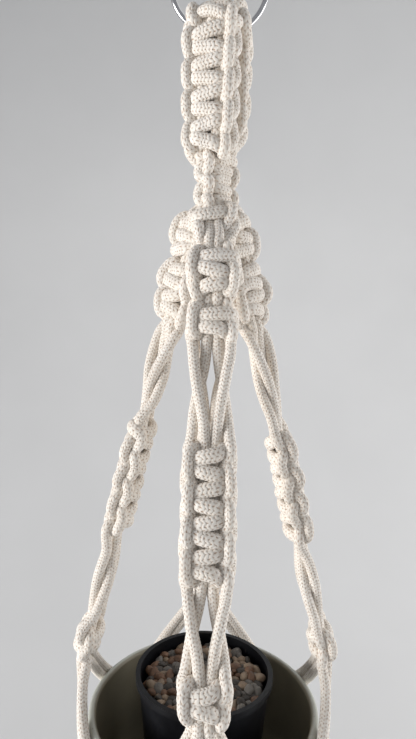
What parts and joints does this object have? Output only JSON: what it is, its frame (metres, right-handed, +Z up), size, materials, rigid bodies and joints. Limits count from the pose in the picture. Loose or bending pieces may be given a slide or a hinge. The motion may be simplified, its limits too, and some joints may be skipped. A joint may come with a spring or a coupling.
{
  "type": "hanging macrame planter",
  "caption": "Knotted cotton plant hanger on a steel ring, its arms holding a ceramic pot with a plastic nursery pot of pebbles, ending in a tassel.",
  "frame": {"origin": "inside top of the hanging ring, where the hook carries it", "axes": "+Z up, the front arm on -Y, the ring in the XZ plane with its axis along Y"},
  "size_m": [0.172, 0.1683, 0.8016],
  "materials": {
    "cotton_cord": "matt braided cotton, undyed cream",
    "ring_steel": "bright nickel-plated steel wire",
    "pot_ceramic": "satin grey-green glaze, darker inside",
    "pot_plastic": "black moulded polypropylene, slightly shiny lip",
    "fill": "dark brown potting fill",
    "pebble_stone": "brown, tan and grey river gravel"
  },
  "bodies": {
    "ring": {"hanging_ring": "ring_steel"},
    "hanger": {"loop_fold": "cotton_cord", "loop_front_leg": "cotton_cord", "loop_back_leg": "cotton_cord", "neck_sennit": "cotton_cord", "crown_core": "cotton_cord", "crown_knots_front": "cotton_cord", "crown_knots_right": "cotton_cord", "crown_knots_back": "cotton_cord", "crown_knots_left": "cotton_cord", "arm_cords_front": "cotton_cord", "arm_sennit_front": "cotton_cord", "swap_cords_front": "cotton_cord", "basket_knot_front": "cotton_cord", "net_cords_front": "cotton_cord", "arm_cords_right": "cotton_cord", "arm_sennit_right": "cotton_cord", "swap_cords_right": "cotton_cord", "basket_knot_right": "cotton_cord", "net_cords_right": "cotton_cord", "arm_cords_back": "cotton_cord", "arm_sennit_back": "cotton_cord", "swap_cords_back": "cotton_cord", "basket_knot_back": "cotton_cord", "net_cords_back": "cotton_cord", "arm_cords_left": "cotton_cord", "arm_sennit_left": "cotton_cord", "swap_cords_left": "cotton_cord", "basket_knot_left": "cotton_cord", "net_cords_left": "cotton_cord", "join_knot_front_right": "cotton_cord", "under_cords_front_right": "cotton_cord", "join_knot_back_right": "cotton_cord", "under_cords_back_right": "cotton_cord", "join_knot_back_left": "cotton_cord", "under_cords_back_left": "cotton_cord", "join_knot_front_left": "cotton_cord", "under_cords_front_left": "cotton_cord", "gathering_wrap": "cotton_cord"},
    "cachepot": {"cachepot": "pot_ceramic"},
    "liner": {"liner_pot": "pot_plastic", "soil_plug": "fill", "pebbles": "pebble_stone"},
    "tassel": {"tassel_strand_01": "cotton_cord", "tassel_strand_02": "cotton_cord", "tassel_strand_03": "cotton_cord", "tassel_strand_04": "cotton_cord", "tassel_strand_05": "cotton_cord", "tassel_strand_06": "cotton_cord", "tassel_strand_07": "cotton_cord", "tassel_strand_08": "cotton_cord", "tassel_strand_09": "cotton_cord", "tassel_strand_10": "cotton_cord", "tassel_strand_11": "cotton_cord", "tassel_strand_12": "cotton_cord", "tassel_strand_13": "cotton_cord", "tassel_strand_14": "cotton_cord", "tassel_strand_15": "cotton_cord", "tassel_strand_16": "cotton_cord"}
  },
  "joints": [
    {"name": "hanger_swing", "type": "hinge", "parent": "ring", "child": "hanger", "pos_m": [0, 0, -0.0556], "axis": [1, 0, 0], "range_deg": [-30, 30]},
    {"name": "pot_lift", "type": "slide", "parent": "hanger", "child": "cachepot", "axis": [0, 0, 1], "range_m": [0, 0.02]},
    {"name": "liner_lift", "type": "slide", "parent": "cachepot", "child": "liner", "axis": [0, 0, 1], "range_m": [0, 0.08]},
    {"name": "tassel_swing", "type": "hinge", "parent": "hanger", "child": "tassel", "pos_m": [0, 0, -0.622], "axis": [1, 0, 0], "range_deg": [-20, 20]}
  ]
}
